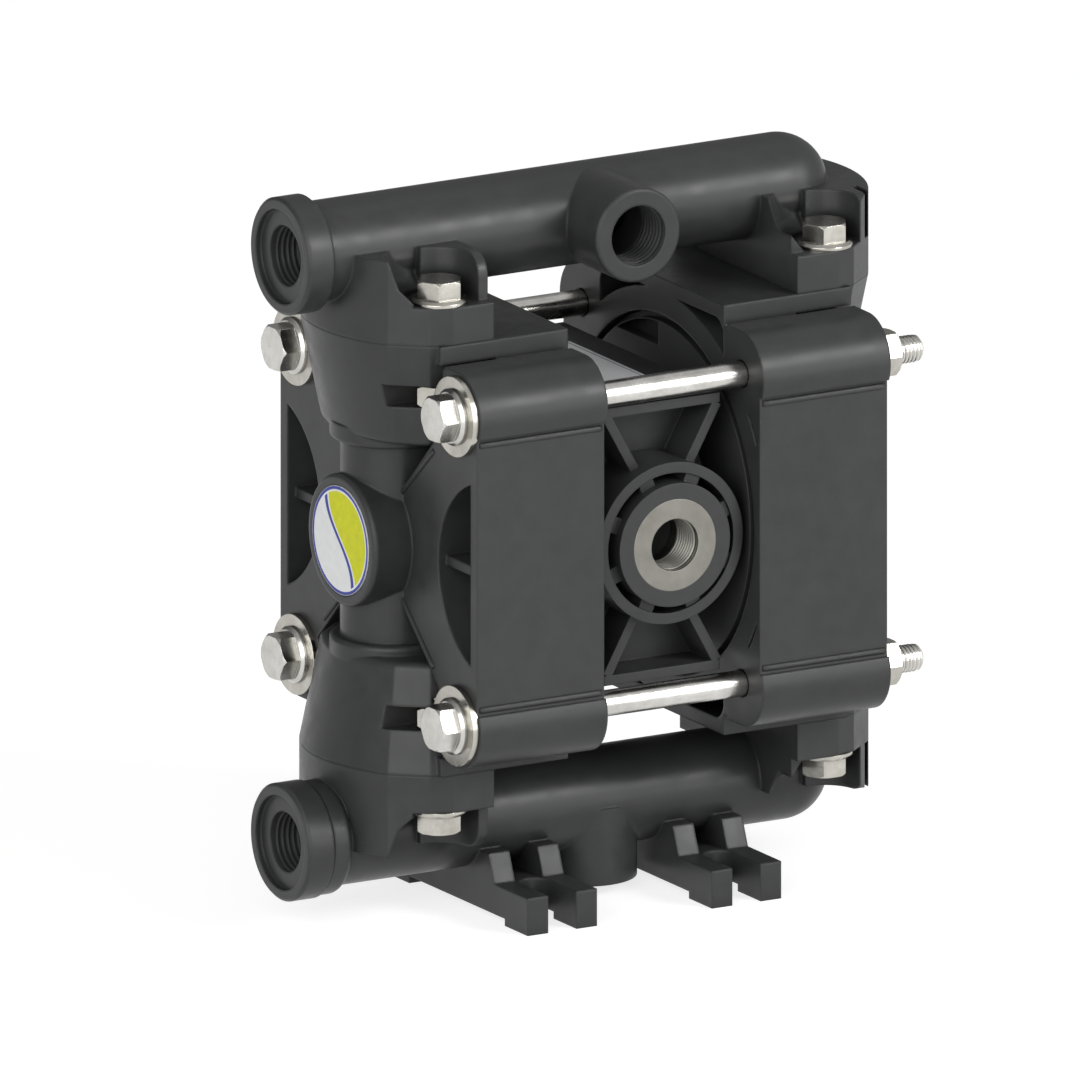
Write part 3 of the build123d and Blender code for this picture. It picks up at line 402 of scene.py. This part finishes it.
def helix_thread(name, start, along, length, material, slot, steps, radius, pitch, height):
    """Helical ridge that fades in and out over its first and last turn; sizes in mm."""
    start, along = Vector(start), Vector(along)
    side = along.orthogonal().normalized()
    up = along.cross(side)
    foot = THREAD_SINK if height < 0 else -THREAD_SINK
    turns = length / pitch
    count = int(turns * steps)
    vertices = []
    for k in range(count + 1):
        share = k / count
        angle = 2 * math.pi * turns * share
        crest = height * min(1.0, share * turns, (1 - share) * turns)
        outward = side * math.cos(angle) + up * math.sin(angle)
        section = ((-FOOT_HALF, foot), (-CREST_HALF, crest), (CREST_HALF, crest), (FOOT_HALF, foot))
        for offset, rise in section:
            point = start + along * (length * share + offset * pitch) + outward * (radius + rise)
            vertices.append(point * MM)
    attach(add_piece(name, vertices, tube_faces(count + 1, len(section)), material), "pump")


for name, start, along, length in (
        ("discharge_port_thread", (END_PORT_X, 0, AXIS_Z + PIPE_Z), ALONG_X, PORT_LENGTH),
        ("suction_port_thread", (END_PORT_X, 0, AXIS_Z - PIPE_Z), ALONG_X, PORT_LENGTH),
        ("front_port_thread", (0, FRONT_PORT_Y, AXIS_Z + PIPE_Z), ALONG_Y, PORT_LENGTH),
        ("base_port_thread", (0, 0, BASE_PORT_Z), ALONG_Z, BASE_PORT_LENGTH)):
    helix_thread(name, start, along, length, WETTED, "wetted_plastic", PORT_STEPS, **G_HALF)
helix_thread("air_inlet_thread", (0, INLET_Y, AXIS_Z), ALONG_Y, INLET_LENGTH, TURNED, "insert_steel",
             PORT_STEPS, **G_THREE_EIGHTHS)
for y_tag, y in (("f", -ROD_SPREAD), ("b", ROD_SPREAD)):
    for z_tag, z in (("b", -ROD_SPREAD), ("t", ROD_SPREAD)):
        helix_thread(f"rod_thread_{y_tag}{z_tag}", (ROD_TIP - ROD_THREAD_BACK, y, AXIS_Z + z), ALONG_X,
                     ROD_THREAD_LENGTH, BRIGHT, "fastener_steel", ROD_STEPS, **M8)


# ---------------------------------------------------------------- moulded beads and web crests
PANEL_START, PANEL_LENGTH = 27.8, 42.4       # a side panel along X, mm
PANEL_FACE, PANEL_TOP = 59.0, 43.0           # its face in Y, and its end at the rod lobe in Z from the axis, mm
BEAD_R, BEAD_SET = 1.0, 0.9                  # radius of a bead, and the groove between it and the lobe, mm
CREST_R = 0.9
CREST_FROM, CREST_TO = (12.3, 14.9), (33.1, 33.8)      # a web's crest from boss to rod lobe, in Y and Z, mm
END_FACE = 71.0                              # the face that the crests lie on, mm
BEAD_TAPER = ((0.0, 0.35), (0.8, 0.85), (1.8, 1.0))    # distance from a bead's end, mm, and its height's share
BEAD_SINK = 0.1                              # how far a bead's flat back lies inside the skin, mm
BEAD_SIDES = 12


def bead(name, start, along, out, length, radius):
    """Half round moulded bead with tapered ends; sizes in mm."""
    start, along, out = Vector(start), Vector(along).normalized(), Vector(out)
    across = along.cross(out)
    rows = BEAD_TAPER + tuple((length - at, share) for at, share in reversed(BEAD_TAPER))
    vertices = []
    for at, share in rows:
        for k in range(BEAD_SIDES + 1):
            angle = math.pi * k / BEAD_SIDES
            rise = radius * share * math.sin(angle) - BEAD_SINK
            vertices.append((start + along * at + out * rise + across * (radius * math.cos(angle))) * MM)
    piece = add_piece(name, vertices, tube_faces(len(rows), BEAD_SIDES + 1), WETTED)
    for face in piece.data.polygons[:-2]:
        face.use_smooth = True
    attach(piece, "pump")


for side, x in (("left", -1), ("right", 1)):
    panel_start = PANEL_START if x > 0 else -PANEL_START - PANEL_LENGTH
    for y_tag, y in (("front", -1), ("back", 1)):
        for z_tag, z in (("lower", -1), ("upper", 1)):
            tag = f"{side}_{y_tag}_{z_tag}"
            bead_z = AXIS_Z + z * (PANEL_TOP - BEAD_R - BEAD_SET)
            bead(f"{tag}_bead", (panel_start, y * PANEL_FACE, bead_z), ALONG_X, (0, y, 0), PANEL_LENGTH, BEAD_R)
            run = Vector((0, y * (CREST_TO[0] - CREST_FROM[0]), z * (CREST_TO[1] - CREST_FROM[1])))
            bead(f"{tag}_crest", (x * END_FACE, y * CREST_FROM[0], AXIS_Z + z * CREST_FROM[1]), run,
                 (x, 0, 0), run.length, CREST_R)


# ---------------------------------------------------------------- diaphragms
CENTRE_HOLE, PLATE_EDGE, CHAMBER, RIM = 6.2, 22.0, 45.0, 55.0      # radii of a diaphragm, mm
CENTRE_MID, CENTRE_T = 31.0, 2.0             # its middle plane and thickness under the plates, mm
RIM_MID, RIM_T = 33.75, 2.5                  # and at the clamped rim, mm
ROLL = 3.6                                   # height of the rolled bellows, mm
DISC_STEPS, ROLL_STEPS = 96, 22              # points round the disc, and across the bellows


def diaphragm(side, sign):
    """Rubber disc with a rolled bellows, which takes the place of the part's own diaphragm."""
    centres = [(CENTRE_HOLE, CENTRE_MID, CENTRE_T), (PLATE_EDGE / 2, CENTRE_MID, CENTRE_T)]
    for k in range(ROLL_STEPS + 1):
        share = k / ROLL_STEPS
        swell = ROLL * math.sin(math.pi * share) ** 2
        centres.append((PLATE_EDGE + (CHAMBER - PLATE_EDGE) * share,
                        CENTRE_MID + (RIM_MID - CENTRE_MID) * share + swell,
                        CENTRE_T + (RIM_T - CENTRE_T) * share))
    centres += [((CHAMBER + RIM) / 2, RIM_MID, RIM_T), (RIM, RIM_MID, RIM_T)]
    section = [(r, x - t / 2) for r, x, t in centres] + [(r, x + t / 2) for r, x, t in reversed(centres)]
    vertices = []
    for k in range(DISC_STEPS):
        angle = 2 * math.pi * k / DISC_STEPS
        vertices += [(sign * x * MM, r * math.cos(angle) * MM, (AXIS_Z + r * math.sin(angle)) * MM)
                     for r, x in section]
    piece = add_piece(f"{side}_rolled_diaphragm", vertices, tube_faces(DISC_STEPS, len(section), closed=True),
                      DIAPHRAGM)
    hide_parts(f"{side}_diaphragm")
    # The disc is laid out by radius for a moment, and then its points are put back.
    points = piece.data.vertices
    real = [point.co.copy() for point in points]
    for point in points:
        point.co = (point.co.x, math.hypot(point.co.y, point.co.z - AXIS_Z * MM), 0.0)
    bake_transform(piece)
    for point, place in zip(points, real):
        point.co = place
    piece.data.update()


diaphragm("left", -1)
diaphragm("right", 1)


# ---------------------------------------------------------------- floor and world
FLOOR_REACH = 6.0
FLOOR_GREY, FLOOR_GLOW = 0.50, 0.77          # its own tone, and the glow that makes it white where it is seen
AMBIENT = 0.22                               # the world's level as a light
MIRRORED, MIRRORED_X, MIRRORED_Y = 0.58, 0.08, -0.46   # its level in reflections, and its slope along X and Y

floor_mesh = bpy.data.meshes.new("floor")
floor_mesh.from_pydata([(-FLOOR_REACH, -FLOOR_REACH, 0), (FLOOR_REACH, -FLOOR_REACH, 0),
                        (FLOOR_REACH, FLOOR_REACH, 0), (-FLOOR_REACH, FLOOR_REACH, 0)], [], [(0, 1, 2, 3)])
paper = Paint("floor_paper")
rays = paper.node("ShaderNodeLightPath").outputs
seen = paper.math("MAXIMUM", rays["Is Camera Ray"], rays["Is Glossy Ray"])
seen = paper.math("MAXIMUM", seen, rays["Is Transmission Ray"])
paper.link(paper.math("MULTIPLY", seen, FLOOR_GLOW), paper.shader.inputs["Emission Strength"])
floor_mesh.materials.append(paper.finish(Base_Color=(FLOOR_GREY, FLOOR_GREY, FLOOR_GREY, 1), Roughness=0.9,
                                         Specular_IOR_Level=0.0, Emission_Color=WHITE))
add_object("floor", floor_mesh)

world = bpy.data.worlds.new("studio")
bpy.context.scene.world = world
world.use_nodes = True
sky = Nodes(world.node_tree)
background = sky.tree.nodes["Background"]
background.inputs["Color"].default_value = WHITE
ray_x, ray_y, _ = sky.axes(sky.node("ShaderNodeTexCoord").outputs["Generated"])
rays = sky.node("ShaderNodeLightPath").outputs
seen = sky.math("MAXIMUM", rays["Is Glossy Ray"], rays["Is Transmission Ray"])
mirrored = sky.math("ADD", MIRRORED, sky.math("ADD", sky.math("MULTIPLY", ray_x, MIRRORED_X),
                                              sky.math("MULTIPLY", ray_y, MIRRORED_Y)))
level = sky.math("ADD", sky.math("MULTIPLY", seen, mirrored),
                 sky.math("MULTIPLY", sky.math("SUBTRACT", 1.0, seen), AMBIENT))
sky.link(sky.math("MAXIMUM", level, rays["Is Camera Ray"]), background.inputs["Strength"])


# ---------------------------------------------------------------- lamps and camera
MIDDLE = Vector((0.0, 0.0, 0.12))            # what the lamps point at
LAMPS = {                                    # place, width and height of each softbox, and its watts
    "key_softbox": ((1.16, -1.76, 1.22), (0.9, 0.7), 26.0),
    "low_softbox": ((1.15, -2.10, 0.30), (1.3, 0.4), 7.0),
    "left_softbox": ((-1.80, -1.44, 0.90), (2.2, 1.8), 40.0),
    "top_softbox": ((0.3, 0.5, 2.8), (1.8, 1.8), 5.0),
}
for name, (place, size, watts) in LAMPS.items():
    light = bpy.data.lights.new(name, "AREA")
    light.shape = "RECTANGLE"
    light.size, light.size_y = size
    light.energy = watts
    lamp = add_object(name, light)
    lamp.location = place
    lamp.rotation_euler = (MIDDLE - Vector(place)).to_track_quat("-Z", "Y").to_euler()

IMAGE, PIXEL = 1080, 0.0003                  # pixels across the photograph, and metres to a pixel
AZIMUTH, ELEVATION = math.radians(-30.0), math.radians(15.0)       # the view from the front, left and above
AIM = Vector((-0.01277, 0.00416, 0.10810))   # what the middle of the photograph shows
DISTANCE, FAR = 2.0, 20.0

back = Vector((math.sin(AZIMUTH) * math.cos(ELEVATION), -math.cos(AZIMUTH) * math.cos(ELEVATION),
               math.sin(ELEVATION)))
camera_data = bpy.data.cameras.new("camera")
camera_data.type = "ORTHO"
camera_data.ortho_scale = IMAGE * PIXEL
camera_data.clip_end = FAR
camera = add_object("camera", camera_data)
camera.location = AIM + DISTANCE * back
camera.rotation_euler = back.to_track_quat("Z", "Y").to_euler()
bpy.context.scene.camera = camera
bpy.context.scene.view_settings.view_transform = "Standard"
